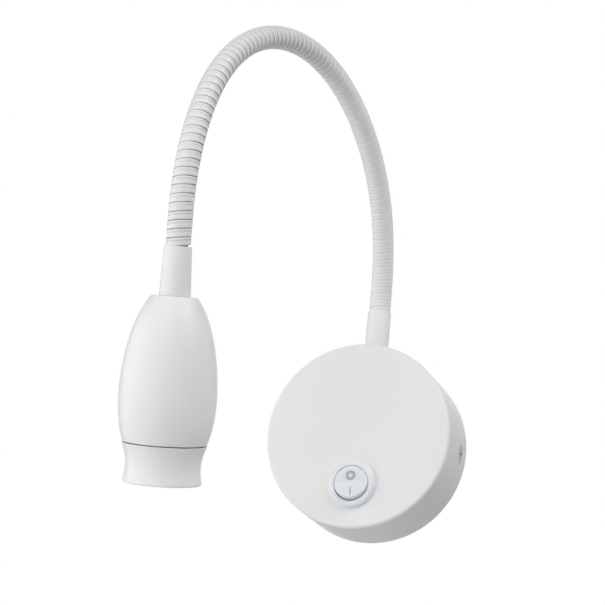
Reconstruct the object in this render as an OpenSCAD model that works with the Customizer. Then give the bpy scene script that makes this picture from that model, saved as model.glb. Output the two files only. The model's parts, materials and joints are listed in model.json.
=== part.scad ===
// Wall spot lamp: a round wall canopy with a rocker switch, a wound neck that bends
// and stays, and a bullet-shaped lamp head. Millimetres. The origin is the centre of
// the canopy's back on the wall. +Z is up, +X is to the right and the room is at -Y.

/* [Canopy] */
// Diameter of the canopy at its front edge
canopy_d = 90; // [88:1:96]
// Extra diameter of the canopy at the wall
canopy_flare = 1; // [0:0.5:2]
// Depth of the canopy from the wall to its front face
canopy_depth = 34; // [33:1:40]
// Sheet thickness of the canopy
canopy_wall = 1.2; // [1:0.1:1.5]
// Radius of the canopy's front edge
canopy_edge_r = 1.5; // [1.3:0.1:2.5]
// Distance of the neck's foot from the wall
neck_out = 14; // [13:0.5:16]
// Distance of the side screws from the wall
side_screw_out = 9.5; // [9:0.5:11]
// Angle of the side screws below the canopy's middle
side_screw_turn = 3; // [0:1:10]

/* [Wall bracket] */
// Diameter of the bracket's plate
bracket_d = 80; // [78:1:80]
// Sheet thickness of the bracket
bracket_t = 1.5; // [1.2:0.1:2]
// Distance between the two wall screw slots
slot_spacing = 56; // [54:1:60]
// Width of a wall screw slot
slot_w = 4.5; // [4:0.5:5]
// Length of a wall screw slot
slot_l = 9; // [8:0.5:10]
// Diameter of the mains cable inlet
inlet_d = 16; // [12:1:16]
// Distance of the mains cable inlet below the canopy's centre
inlet_drop = 4; // [4:0.5:5]

/* [Switch] */
// Distance of the switch below the canopy's centre
switch_drop = 24; // [24:0.5:26]
// Angle that the switch is turned in its hole
switch_turn = 6; // [0:1:10]
// Diameter of the switch's bezel
bezel_d = 23; // [22.5:0.5:24]
// Height of the bezel over the canopy's face
bezel_h = 2.4; // [2.2:0.1:2.6]
// Diameter of the hole that the switch snaps into
switch_hole_d = 20; // [19.8:0.1:20.2]
// Diameter of the rocker
rocker_d = 16.2; // [15.8:0.1:16.4]
// Angle between the rocker's two positions
rocker_travel = 16; // [12:1:16]
// Share of the rocker's angle that the contact lever turns
lever_share = 0.75; // [0.5:0.05:0.8]

/* [Neck] */
// Length of the neck between its two sleeves
neck_length = 318; // [300:1:330]
// Outer diameter of the neck's winding
neck_d = 10.4; // [10:0.1:10.6]
// Turns of the winding in one whole stretch
stretch_turns = 7.5; // [6:0.5:7.5]
// Gap between two turns of the winding
turn_gap = 0.55; // [0.5:0.05:0.7]
// Diameter of the inner tube of each stretch
core_d = 7.9; // [7.5:0.1:8]
// Diameter of the lead that runs through the neck
lead_d = 2.6; // [2:0.1:3]

/* [Sleeves] */
// Length of the sleeve on the canopy
base_sleeve_l = 22; // [20:1:24]
// Diameter of the sleeve at the canopy
base_sleeve_d = 11.5; // [11.4:0.1:12]
// Length of the sleeve on the head
head_sleeve_l = 20.5; // [18:0.5:22]
// Diameter of the sleeve at the head
head_sleeve_d = 13.2; // [12.6:0.1:13.6]
// Diameter of both sleeves where the neck enters
sleeve_mouth_d = 11.4; // [11:0.1:11.6]

/* [Head] */
// Length of the head's shell
shell_l = 60; // [58:1:62]
// Diameter of the shell at its flat top
shell_top_d = 19; // [18.6:0.2:20.6]
// Largest diameter of the shell
shell_d = 40.4; // [39.6:0.2:41.4]
// Distance from the flat top to the largest diameter
shell_belly = 42; // [41:1:44]
// Diameter of the shell at its mouth
shell_mouth_d = 34.8; // [34.4:0.2:35.2]
// Wall thickness of the shell
shell_wall = 1.5; // [1.3:0.1:1.6]
// Open gap between the shell and the front ring
reveal = 0.5; // [0.4:0.1:0.8]
// Length of the front ring
ring_l = 16; // [15:0.5:17]
// Diameter of the front ring at its waist
ring_waist_d = 31; // [30.6:0.2:31.6]

/* [Hidden] */
$fn = 48;
eps = 0.1;
// Bend of each stretch in degrees, from the canopy to the head
neck_bends = [11.5, 17, 15, 13.5, 15, 17, 18, 18.5, 19.5, 18.5, 17, 15, 2.5];
// Side that each stretch bends to, in degrees about the neck
neck_turns = [13, -5, -17, -17, -15, -12, -10, -8, -9, -12, -16, -21, -26];
last = len(neck_bends) - 1;
// Canopy
front_r = canopy_d / 2;
back_r = (canopy_d + canopy_flare) / 2;
foot_r = back_r - (back_r - front_r) * neck_out / canopy_depth;
rim_r = back_r - (back_r - front_r) * side_screw_out / canopy_depth;
inner_z = canopy_depth - canopy_wall;
// Bracket ears, the two angle pieces that take the side screws
ear_x = 42.2;
ear_w = 14;
ear_h = 14;
ear_foot = 6;
// Screws: a head is its radius and height, a shank its radius and length, a cross its length, width and depth
thread_fit = 0.02;
screw_play = 0.03;
screw_slot = 0.4;
side_head = [4.8, 2.8];
side_thread_r = 2;
side_screw_l = 8;
side_sunk = 0.2;
side_hole_r = 2.4;
side_cross = [5.2, 1.2, 1.8];
// Pressed seat of a side screw in the canopy's sheet: its wall, and where it starts and ends under the rim
seat_play = 0.07;
seat_wall = 1.4;
seat_start = 0.6;
seat_end = 2.9;
driver_head = [2.4, 1.4];
driver_screw_r = 1.2;
driver_hole_play = 0.3;
earth_head = [3, 1.8];
earth_screw_r = 1.6;
earth_hole_play = 0.1;
terminal_head = [1.9, 1.2];
terminal_shank = [1.3, 2.3];
board_head = [1.8, 1];
board_screw_r = 1.1;
board_screw_l = 4;
board_hole_play = 0.2;
board_screw_at = 9;
// Earth tag, with a crimp for the wire
earth_at = [24, -18];
tag_r = 3.6;
tag_t = 0.8;
tag_w = 3.2;
crimp_r = 1.6;
crimp_bore_r = 0.9;
crimp_at = 6;
crimp_l = 5;
// Driver, the case with a screw tab at each end
driver_size = [46, 22, 17.5];
driver_corner = 1.5;
driver_y = 20;
driver_tab_l = 7;
driver_tab_w = 8;
driver_tab_t = 2;
driver_tab_corner = 2;
driver_screw_x = driver_size[0] / 2 + driver_tab_l / 2;
// Terminal block, with a wire hole and a screw well for each pole
block_size = [20, 12, 12];
block_corner = 1;
block_at = [-22, -17];
block_pitch = 6;
wire_hole_r = 1.7;
wire_hole_z = 4;
well_r = 2;
well_floor = 6.5;
terminal_seat = 9;
// Switch, from the front face of the canopy
body_r = switch_hole_d / 2 - 0.25;
cavity_r = rocker_d / 2 + 0.35;
cavity_edge = 0.5;
bezel_edge = 2.1;
body_depth = 14;
floor_t = 2;
body_back = canopy_depth - body_depth;
floor_z = body_back + floor_t;
clip_size = [1.3, 4, 4];
clip_root = 0.6;
clip_play = 0.2;
pivot_z = canopy_depth - 1;
pin_r = 0.9;
pin_fit = 0.02;
pin_inset = 0.2;
running = 0.05;
rocker_centre_h = 3.6;
rocker_under = 2.2;
rocker_flat = 0.1;
plunger_r = 1.2;
plunger_tip = 6.5;
lever_z = pivot_z - 7.6;
lever_size = [4, 12, 0.6];
blade_w = 4;
blade_t = 0.8;
blade_l = 11.4;
middle_blade_l = 12.6;
blade_out = 8;
blade_y = 6;
blade_play = 0.05;
// Neck
stretch_l = neck_length / last;
pitch = stretch_l / stretch_turns;
band_w = pitch - turn_gap;
band_t = 0.8;
band_edge = 0.35;
band_outer = neck_d / 2;
rings_per_turn = 8;
core_r = core_d / 2;
core_bore_r = 2.2;
ball_r = core_r - 0.15;
ball_bore_r = core_bore_r + 0.3;
ball_bore_run = 1;
socket_r = ball_r + 0.3;
joint_gap = 1.6;
neck_tail = 7.5;
tail_r = core_r - 0.15;
tail_bore_r = core_bore_r + 0.4;
neck_top = front_r + base_sleeve_l;
// Lead
lead_sides = 8;
lead_cuts = 4;
lead_start = driver_y + driver_size[1] / 2 + eps;
lead_end = head_sleeve_l + shell_l - eps;
// Nipples, nuts and washer that hold the sleeves
nipple_r = 4.98;
nipple_bore_r = 3.2;
nipple_clear = 0.07;
nipple_gap = 1.5;
nipple_stub = 2;
nut_r = 8.08;
nut_h = 3.5;
washer_r = 8;
washer_t = 0.8;
base_nut_z = 38.7;
sleeve_sink = 1;
// Head, measured from the flat top of the shell
belly_r = shell_d / 2;
top_r = shell_top_d / 2;
mouth_r = shell_mouth_d / 2;
upper_half = shell_belly / sqrt(1 - pow(top_r / belly_r, 2));
lower_half = (shell_l - shell_belly) / sqrt(1 - pow(mouth_r / belly_r, 2));
shell_top_t = 2;
top_chamfer = 0.6;
shell_steps = 24;
head_l = shell_l + reveal + ring_l;
sink_r = mouth_r - shell_wall - 0.1;
sink_top = 44;
sink_plate = 6;
fin_count = 9;
fin_t = 1.6;
fin_root = 1;
stem_r = 6;
spigot_r = 14.1;
spigot_inner_r = 12.9;
spigot_l = 6;
spigot_end_gap = 0.3;
board_r = 11.5;
board_t = 1.6;
chip_r = 4;
chip_t = 0.8;
holder_gap = 0.2;
holder_t = 0.8;
holder_lip = 0.64;
lens_start = shell_l + board_t + chip_t + 0.6;
lens_front = head_l - 2.9;
lens_r = 11.4;
lens_rim_r = 12.3;
lens_rim_t = 1.2;
lens_root_r = 5.4;
lens_well_r = 4.2;
lens_well = 3.6;
seal_t = 0.6;
seal_play = 0.1;
ring_thread_r = spigot_r + 0.1;
ring_bore_r = 12.6;
ring_lip_r = 11.2;
ring_lip_flare = 1;
ring_curve = 0.024;
ring_waist_h = shell_l + 10;
ring_edge = 0.8;
ring_steps = 16;

// Turns and moves as matrices, so that the stretches can follow one another
function move(v) = [[1, 0, 0, v[0]], [0, 1, 0, v[1]], [0, 0, 1, v[2]], [0, 0, 0, 1]];
function turn_y(a) = [[cos(a), 0, sin(a), 0], [0, 1, 0, 0], [-sin(a), 0, cos(a), 0], [0, 0, 0, 1]];
function turn_z(a) = [[cos(a), -sin(a), 0, 0], [sin(a), cos(a), 0, 0], [0, 0, 1, 0], [0, 0, 0, 1]];
function at(m, p) = [for (row = [0 : 2]) m[row] * [p[0], p[1], p[2], 1]];

// A stretch leaves along its +Z and bends towards its +X
function length_of(k) = k == 0 || k == last ? stretch_l / 2 : stretch_l;
function radius_of(k) = length_of(k) / (neck_bends[k] * PI / 180);
function angle_at(k, s) = s / radius_of(k) * 180 / PI;
function on_arc(k, x, y, s) =
    let (radius = radius_of(k), a = angle_at(k, s))
    [radius - (radius - x) * cos(a), y, (radius - x) * sin(a)];
function arc_end(k) = move(on_arc(k, 0, 0, length_of(k))) * turn_y(neck_bends[k]);
function neck_frame(k) =
    k == 0 ? move([0, -neck_out, neck_top]) * turn_z(-90)
           : stretch_frame(k - 1) * arc_end(k - 1) * turn_z(-neck_turns[k - 1]);
function stretch_frame(k) = neck_frame(k) * turn_z(neck_turns[k]);
head_frame = neck_frame(last + 1);

// The winding: one band of six sides that climbs round each stretch
band = [[-band_w / 2, band_outer - band_t], [band_w / 2, band_outer - band_t],
        [band_w / 2, band_outer - band_edge], [band_w / 2 - band_edge * 2, band_outer],
        [-band_w / 2 + band_edge * 2, band_outer], [-band_w / 2, band_outer - band_edge]];
function turns_before(k) = k == 0 ? 0 : (k - 0.5) * stretch_turns;
function first_turn(k) = k == 0 ? (band_w / 2 + eps) / pitch : eps;
function end_turn(k) = length_of(k) / pitch - (k == last ? (band_w / 2 + eps) / pitch : eps);
function ring_count(k) = floor((end_turn(k) - first_turn(k)) * rings_per_turn);
function band_point(k, turn, corner) =
    let (around = 360 * (turn + turns_before(k)) - neck_turns[k], r = corner[1])
    on_arc(k, r * cos(around), r * sin(around), turn * pitch + corner[0]);
function band_ring(k, i) =
    let (turn = first_turn(k) + (end_turn(k) - first_turn(k)) * i / ring_count(k))
    [for (corner = band) band_point(k, turn, corner)];
function band_points(k) = [for (i = [0 : ring_count(k)]) each band_ring(k, i)];

// Least gap between one turn and the next, edge to edge, on the points of a stretch
function turn_gaps(k) =
    [for (t = [first_turn(k) : 1 / rings_per_turn : end_turn(k) - 1], side = [[2, 5], [1, 0]])
        norm(band_point(k, t, band[side[0]]) - band_point(k, t + 1, band[side[1]]))];
echo(least_gap = min([for (k = [1 : last - 1]) min(turn_gaps(k))]));

// Triangles of a closed tube with the given rings and sides
function tube_faces(rings, sides) = concat(
    [for (i = [0 : rings - 2], j = [0 : sides - 1])
        let (a = i * sides + j, b = i * sides + (j + 1) % sides)
        each [[a, a + sides, b], [b, a + sides, b + sides]]],
    [for (j = [1 : sides - 2]) [0, j, j + 1]],
    [for (j = [1 : sides - 2]) let (e = (rings - 1) * sides) [e, e + j + 1, e + j]]);

// The lead: from the driver, up the nipple, along the neck and down to the board
function lead_ring(m, roll) =
    [for (j = [0 : lead_sides - 1])
        let (a = 360 * j / lead_sides - roll)
        at(m, [lead_d / 2 * cos(a), lead_d / 2 * sin(a), 0])];
function lead_frame(k, i) =
    let (s = length_of(k) * i / lead_cuts)
    stretch_frame(k) * move(on_arc(k, 0, 0, s)) * turn_y(angle_at(k, s));
function lead_points() = concat(
    lead_ring(move([0, -neck_out, lead_start]) * turn_z(-90), 0),
    [for (k = [0 : last], i = [0 : lead_cuts - 1]) each lead_ring(lead_frame(k, i), neck_turns[k])],
    lead_ring(head_frame, 0),
    lead_ring(head_frame * move([0, 0, lead_end]), 0));

// The head's outline: half of an ellipse above its belly, a flatter one below
function shell_r(h) =
    let (half = h < shell_belly ? upper_half : lower_half)
    belly_r * sqrt(1 - pow((h - shell_belly) / half, 2));
function ring_r(h) = ring_waist_d / 2 + ring_curve * pow(h - ring_waist_h, 2);
function arc(x, y, r, from, to, steps = 8) =
    [for (i = [0 : steps]) let (a = from + (to - from) * i / steps) [x + r * cos(a), y + r * sin(a)]];

// Places: on the wall with +Z into the room, at the neck's foot, on the head
module on_wall() rotate([90, 0, 0]) children();
module at_switch() on_wall() translate([0, -switch_drop, 0]) rotate([0, 0, switch_turn]) children();
module at_rocker() at_switch() translate([0, 0, pivot_z]) rotate([-rocker_travel / 2, 0, 0]) children();
module at_foot() translate([0, -neck_out, 0]) children();
module on_head() multmatrix(head_frame) translate([0, 0, head_sleeve_l]) children();
module both_sides() for (side = [0, 180]) rotate([0, 0, side]) children();
module at_ears() for (turn = [-side_screw_turn, 180 + side_screw_turn]) rotate([0, 0, turn]) children();
module at_side_screws() at_ears() translate([rim_r, 0, side_screw_out]) rotate([0, 90, 0]) children();

module tube(r, bore, h) {
    difference() {
        cylinder(r = r, h = h);
        translate([0, 0, -eps]) cylinder(r = bore, h = h + 2 * eps);
    }
}

module arc_rod(k, r, from, to) {
    radius = radius_of(k);
    turned = angle_at(k, from);
    translate([radius, 0, 0]) rotate([90, 0, 180]) rotate([0, 0, turned])
        rotate_extrude(angle = angle_at(k, to) - turned) translate([radius, 0]) circle(r = r);
}

module slotted_screw(head, shank) {
    cut = head[1] * screw_slot;
    difference() {
        union() {
            cylinder(r = head[0], h = head[1]);
            translate([0, 0, -shank[1]]) cylinder(r = shank[0], h = shank[1] + eps);
        }
        translate([-head[0] - eps, -cut / 2, head[1] / 2]) cube([2 * head[0] + 2 * eps, cut, head[1]]);
    }
}

module hex_nut() {
    difference() {
        cylinder(r = nut_r, h = nut_h, $fn = 6);
        translate([0, 0, -eps]) cylinder(r = nipple_r + thread_fit, h = nut_h + 2 * eps);
    }
}

module rounded_plate(size, r, h) {
    linear_extrude(h) union() {
        square([size[0] - 2 * r, size[1]], center = true);
        square([size[0], size[1] - 2 * r], center = true);
        for (x = [-1, 1], y = [-1, 1])
            translate([x * (size[0] / 2 - r), y * (size[1] / 2 - r)]) circle(r = r);
    }
}

// Canopy and what it is fixed with

// Radius of a side screw's seat at a depth under the rim
function seat_r(depth) = side_head[0] + side_sunk + seat_play - depth;

module canopy_shell() {
    inner_edge = max(eps, canopy_edge_r - canopy_wall);
    seat_back = seat_r(seat_end) + seat_wall;
    seat_front = seat_r(seat_start) + seat_wall;
    profile = concat(
        [[back_r, 0]],
        arc(front_r - canopy_edge_r, canopy_depth - canopy_edge_r, canopy_edge_r, 0, 90),
        [[0, canopy_depth], [0, inner_z]],
        arc(front_r - canopy_edge_r, canopy_depth - canopy_edge_r, inner_edge, 90, 0, 4),
        [[back_r - canopy_wall, 0]]);
    color("white") on_wall() difference() {
        union() {
            rotate_extrude() polygon(profile);
            at_side_screws() translate([0, 0, -seat_end])
                cylinder(r1 = seat_back, r2 = seat_front, h = seat_end - seat_start);
        }
        translate([0, -switch_drop, inner_z - eps]) cylinder(d = switch_hole_d, h = canopy_wall + 2 * eps);
        translate([0, 0, neck_out]) rotate([-90, 0, 0])
            cylinder(r = nipple_r + nipple_clear, h = back_r + eps);
        at_side_screws() {
            translate([0, 0, -seat_end - eps]) cylinder(r = side_hole_r, h = seat_end + 2 * eps);
            translate([0, 0, -side_head[1]])
                cylinder(r1 = seat_r(side_head[1]), r2 = seat_r(-eps), h = side_head[1] + eps);
        }
    }
}

module wall_bracket() {
    through = bracket_t + 2 * eps;
    color("silver") on_wall() difference() {
        union() {
            cylinder(d = bracket_d, h = bracket_t);
            at_ears() translate([0, -ear_w / 2, 0]) cube([ear_x, ear_w, bracket_t]);
        }
        translate([0, -inlet_drop, -eps]) cylinder(d = inlet_d, h = through);
        for (side = [-1, 1]) {
            translate([side * slot_spacing / 2, 0, -eps]) linear_extrude(through) union() {
                square([slot_l - slot_w, slot_w], center = true);
                for (end = [-1, 1]) translate([end * (slot_l - slot_w) / 2, 0]) circle(d = slot_w);
            }
            translate([side * driver_screw_x, driver_y, -eps]) cylinder(r = driver_screw_r, h = through);
        }
        translate([earth_at[0], earth_at[1], -eps]) cylinder(r = earth_screw_r, h = through);
    }
}

module bracket_ears() {
    color("silver") on_wall() at_ears() difference() {
        union() {
            translate([ear_x - ear_foot, -ear_w / 2, bracket_t]) cube([ear_foot, ear_w, bracket_t]);
            translate([ear_x - bracket_t, -ear_w / 2, bracket_t]) cube([bracket_t, ear_w, ear_h - bracket_t]);
        }
        translate([ear_x - 2 * bracket_t, 0, side_screw_out]) rotate([0, 90, 0])
            cylinder(r = side_thread_r, h = 3 * bracket_t);
    }
}

module side_screws() {
    shank_r = side_thread_r - thread_fit;
    color("gainsboro") on_wall() at_side_screws() translate([0, 0, -side_sunk]) difference() {
        union() {
            translate([0, 0, -side_head[1]]) cylinder(r1 = shank_r, r2 = side_head[0], h = side_head[1]);
            translate([0, 0, -side_screw_l]) cylinder(r = shank_r, h = side_screw_l - side_head[1] + eps);
        }
        for (turn = [0, 90]) rotate([0, 0, turn])
            translate([-side_cross[0] / 2, -side_cross[1] / 2, -side_cross[2]])
                cube([side_cross[0], side_cross[1], side_cross[2] + eps]);
    }
}

module earth_screw() {
    color("goldenrod") on_wall() translate([earth_at[0], earth_at[1], bracket_t + tag_t])
        slotted_screw(earth_head, [earth_screw_r - screw_play, bracket_t + tag_t]);
}

module earth_tag() {
    color("gold") on_wall() translate([earth_at[0], earth_at[1], bracket_t]) difference() {
        union() {
            cylinder(r = tag_r, h = tag_t);
            translate([-tag_w / 2, 0, 0]) cube([tag_w, crimp_at + crimp_l / 2, tag_t]);
            translate([0, crimp_at, crimp_r]) rotate([-90, 0, 0]) cylinder(r = crimp_r, h = crimp_l);
        }
        translate([0, 0, -eps]) cylinder(r = earth_screw_r + earth_hole_play, h = tag_t + 2 * eps);
        translate([0, crimp_at - eps, crimp_r]) rotate([-90, 0, 0])
            cylinder(r = crimp_bore_r, h = crimp_l + 2 * eps);
    }
}

module led_driver() {
    color("whitesmoke") on_wall() translate([0, driver_y, bracket_t]) difference() {
        union() {
            rounded_plate(driver_size, driver_corner, driver_size[2]);
            rounded_plate([driver_size[0] + 2 * driver_tab_l, driver_tab_w], driver_tab_corner, driver_tab_t);
        }
        for (side = [-1, 1]) translate([side * driver_screw_x, 0, -eps])
            cylinder(r = driver_screw_r + driver_hole_play, h = driver_tab_t + 2 * eps);
    }
}

module driver_screws() {
    color("gray") on_wall() for (side = [-1, 1])
        translate([side * driver_screw_x, driver_y, bracket_t + driver_tab_t])
            slotted_screw(driver_head, [driver_screw_r - screw_play, bracket_t + driver_tab_t]);
}

module terminal_block() {
    color("ivory") on_wall() translate([block_at[0], block_at[1], bracket_t]) difference() {
        rounded_plate(block_size, block_corner, block_size[2]);
        for (k = [-1 : 1]) translate([k * block_pitch, 0, 0]) {
            translate([0, -block_size[1] / 2 - eps, wire_hole_z]) rotate([-90, 0, 0])
                cylinder(r = wire_hole_r, h = block_size[1] + 2 * eps);
            translate([0, 0, well_floor]) cylinder(r = well_r, h = block_size[2]);
        }
    }
}

module terminal_screws() {
    color("darkgoldenrod") on_wall() for (k = [-1 : 1])
        translate([block_at[0] + k * block_pitch, block_at[1], bracket_t + terminal_seat])
            slotted_screw(terminal_head, terminal_shank);
}

// Rocker switch

module switch_housing() {
    lip = canopy_depth + bezel_h;
    profile = concat(
        [[cavity_r, floor_z], [cavity_r, lip - cavity_edge], [cavity_r + cavity_edge, lip]],
        arc(bezel_d / 2 - bezel_edge, lip - bezel_edge, bezel_edge, 90, 0, 6),
        [[bezel_d / 2, canopy_depth], [body_r, canopy_depth]],
        [[body_r, body_back], [0, body_back], [0, floor_z]]);
    color("ghostwhite") at_switch() difference() {
        union() {
            rotate_extrude() polygon(profile);
            both_sides()
                translate([body_r - clip_root, -clip_size[1] / 2, inner_z - clip_play - clip_size[2]])
                    cube(clip_size);
        }
        translate([-bezel_d, 0, pivot_z]) rotate([0, 90, 0]) cylinder(r = pin_r + pin_fit, h = 2 * bezel_d);
        for (k = [-1 : 1])
            translate([-blade_w / 2 - blade_play, k * blade_y - blade_t / 2 - blade_play, 0])
                cube([blade_w + 2 * blade_play, blade_t + 2 * blade_play, floor_z + eps]);
    }
}

module switch_pin() {
    color("gray") at_switch() translate([-body_r + pin_inset, 0, pivot_z]) rotate([0, 90, 0])
        cylinder(r = pin_r, h = 2 * (body_r - pin_inset));
}

module switch_terminals() {
    color("peru") at_switch() for (k = [-1 : 1])
        translate([-blade_w / 2, k * blade_y - blade_t / 2, body_back - blade_out])
            cube([blade_w, blade_t, k == 0 ? middle_blade_l : blade_l]);
}

// Two cylinders tilted to the ends of the travel keep the rocker clear of its cavity on the whole way
module switch_rocker() {
    tilt = rocker_travel / 2;
    edge = rocker_d / 2 + 1;
    half_w = rocker_d / 2 - rocker_flat;
    end_h = rocker_centre_h + edge * tan(tilt);
    profile = [[-edge, -rocker_under], [edge, -rocker_under], [edge, end_h],
               [0, rocker_centre_h], [-edge, end_h]];
    color("aliceblue") at_rocker() difference() {
        intersection() {
            translate([-half_w, 0, 0]) rotate([90, 0, 90]) linear_extrude(2 * half_w) polygon(profile);
            rotate([tilt, 0, 0]) translate([0, 0, -edge]) cylinder(d = rocker_d, h = 2 * edge);
            rotate([-tilt, 0, 0]) translate([0, 0, -edge]) cylinder(d = rocker_d, h = 2 * edge);
        }
        translate([-edge, 0, 0]) rotate([0, 90, 0]) cylinder(r = pin_r + running, h = 2 * edge);
    }
}

module switch_plunger() {
    color("dimgray") at_rocker() translate([0, 0, plunger_r - plunger_tip]) {
        cylinder(r = plunger_r, h = plunger_tip - plunger_r - rocker_under);
        sphere(r = plunger_r);
    }
}

module contact_lever() {
    color("peru") at_switch() translate([0, 0, lever_z]) rotate([rocker_travel / 2 * lever_share, 0, 0])
        translate(-lever_size / 2) cube(lever_size);
}

// Foot of the neck

module base_sleeve() {
    color("white") difference() {
        at_foot() translate([0, 0, foot_r - sleeve_sink])
            cylinder(r1 = base_sleeve_d / 2, r2 = sleeve_mouth_d / 2, h = neck_top - foot_r + sleeve_sink);
        at_foot() cylinder(r = nipple_r + nipple_clear, h = neck_top + eps);
        on_wall() cylinder(r1 = back_r, r2 = front_r, h = canopy_depth);
    }
}

module base_nipple() {
    start = base_nut_z - nipple_stub;
    finish = neck_top - neck_tail - nipple_gap;
    color("tan") at_foot() translate([0, 0, start]) tube(nipple_r, nipple_bore_r, finish - start);
}

module base_nut() {
    color("silver") at_foot() translate([0, 0, base_nut_z]) hex_nut();
}

module base_washer() {
    color("darkgray") at_foot() translate([0, 0, base_nut_z + nut_h])
        tube(washer_r, nipple_r + nipple_clear, washer_t);
}

module neck_lead() {
    rings = 3 + (last + 1) * lead_cuts;
    color("black") polyhedron(lead_points(), tube_faces(rings, lead_sides));
}

// Neck: each stretch has an inner tube with a ball and socket, and its own winding

module neck_core(k) {
    start = k == 0 ? 0 : joint_gap;
    finish = length_of(k) - (k == last ? 0 : joint_gap);
    ball_bore_l = ball_bore_run + joint_gap + socket_r;
    color("slategray") multmatrix(stretch_frame(k)) difference() {
        union() {
            arc_rod(k, core_r, start, finish);
            if (k == 0) translate([0, 0, -neck_tail]) cylinder(r = tail_r, h = neck_tail + eps);
            if (k == last) multmatrix(arc_end(k)) translate([0, 0, -eps])
                cylinder(r = tail_r, h = neck_tail + eps);
            if (k < last) multmatrix(arc_end(k)) sphere(r = ball_r);
        }
        arc_rod(k, core_bore_r, start - eps, finish + eps);
        if (k == 0) translate([0, 0, -neck_tail - eps]) cylinder(r = tail_bore_r, h = neck_tail + 3 * eps);
        if (k > 0) sphere(r = socket_r);
        if (k < last) multmatrix(arc_end(k)) translate([0, 0, -joint_gap - ball_bore_run])
            cylinder(r = ball_bore_r, h = ball_bore_l);
        if (k == last) multmatrix(arc_end(k)) translate([0, 0, -2 * eps])
            cylinder(r = tail_bore_r, h = neck_tail + 4 * eps);
    }
}

module neck_winding(k) {
    color("white") multmatrix(stretch_frame(k))
        polyhedron(band_points(k), tube_faces(ring_count(k) + 1, len(band)));
}

// Head

module head_sleeve() {
    color("white") multmatrix(head_frame) difference() {
        cylinder(r1 = sleeve_mouth_d / 2, r2 = head_sleeve_d / 2, h = head_sleeve_l);
        translate([0, 0, -eps]) cylinder(r = nipple_r + nipple_clear, h = head_sleeve_l + 2 * eps);
    }
}

module head_nipple() {
    start = neck_tail + nipple_gap;
    finish = head_sleeve_l + shell_top_t + nut_h + nipple_stub;
    color("tan") multmatrix(head_frame) translate([0, 0, start])
        tube(nipple_r, nipple_bore_r, finish - start);
}

module head_nut() {
    color("silver") on_head() translate([0, 0, shell_top_t]) hex_nut();
}

module head_shell() {
    outside = [for (i = [1 : shell_steps]) i * shell_l / shell_steps];
    inside = [for (i = [shell_steps : -1 : 0]) shell_top_t + i * (shell_l - shell_top_t) / shell_steps];
    profile = concat(
        [[top_r - top_chamfer, 0], [shell_r(top_chamfer), top_chamfer]],
        [for (h = outside) [shell_r(h), h]],
        [for (h = inside) [shell_r(h) - shell_wall, h]],
        [[nipple_r + nipple_clear, shell_top_t], [nipple_r + nipple_clear, 0]]);
    color("white") on_head() rotate_extrude() polygon(profile);
}

module heat_sink() {
    fin = [sink_r - stem_r, fin_t, shell_l - sink_top - fin_root];
    color("darkgray") on_head() difference() {
        union() {
            translate([0, 0, shell_l - sink_plate]) cylinder(r = sink_r, h = sink_plate);
            translate([0, 0, sink_top]) cylinder(r = stem_r, h = shell_l - sink_top - eps);
            for (k = [0 : fin_count - 1]) rotate([0, 0, 360 * k / fin_count])
                translate([stem_r - fin_root, -fin_t / 2, sink_top]) cube(fin);
            translate([0, 0, shell_l - eps]) tube(spigot_r, spigot_inner_r, spigot_l + eps);
        }
        translate([0, 0, sink_top - eps]) cylinder(r = nipple_bore_r, h = shell_l);
        for (side = [-1, 1]) translate([side * board_screw_at, 0, shell_l - board_screw_l])
            cylinder(r = board_screw_r, h = board_screw_l + eps);
    }
}

module led_board() {
    color("white") on_head() translate([0, 0, shell_l]) difference() {
        cylinder(r = board_r, h = board_t);
        for (side = [-1, 1]) translate([side * board_screw_at, 0, -eps])
            cylinder(r = board_screw_r + board_hole_play, h = board_t + 2 * eps);
    }
}

module led_chip() {
    color("khaki") on_head() translate([0, 0, shell_l + board_t]) cylinder(r = chip_r, h = chip_t);
}

module board_screws() {
    color("silver") on_head() for (side = [-1, 1])
        translate([side * board_screw_at, 0, shell_l + board_t])
            slotted_screw(board_head, [board_screw_r - screw_play, board_screw_l]);
}

module lens_holder() {
    inner = lens_root_r + holder_gap;
    outer = lens_r + holder_gap;
    seat = lens_front - lens_rim_t - holder_gap;
    foot = shell_l + board_t;
    profile = [[inner, lens_start], [outer, seat], [outer + holder_lip, seat],
               [inner + holder_t, lens_start], [inner + holder_t, foot], [inner, foot]];
    color("white") on_head() rotate_extrude() polygon(profile);
}

module lens() {
    back = lens_front - lens_rim_t;
    well = lens_start + lens_well;
    profile = [[0, well], [lens_well_r, well], [lens_well_r, lens_start], [lens_root_r, lens_start],
               [lens_r, back], [lens_rim_r, back], [lens_rim_r, lens_front], [0, lens_front]];
    color("lightcyan", 0.5) on_head() rotate_extrude() polygon(profile);
}

module lens_seal() {
    color("gray") on_head() translate([0, 0, lens_front]) tube(ring_bore_r - seal_play, ring_lip_r, seal_t);
}

module front_ring() {
    start = shell_l + reveal;
    shoulder = shell_l + spigot_l + spigot_end_gap;
    lip = lens_front + seal_t;
    sides = [for (i = [0 : ring_steps]) start + (ring_l - ring_edge) * i / ring_steps];
    end_r = ring_r(head_l - ring_edge);
    profile = concat(
        [for (h = sides) [ring_r(h), h]],
        arc(end_r - ring_edge, head_l - ring_edge, ring_edge, 0, 90, 5),
        [[ring_lip_r + ring_lip_flare, head_l], [ring_lip_r, lip], [ring_bore_r, lip]],
        [[ring_bore_r, shoulder], [ring_thread_r, shoulder], [ring_thread_r, start]]);
    color("white") on_head() rotate_extrude() polygon(profile);
}

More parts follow.
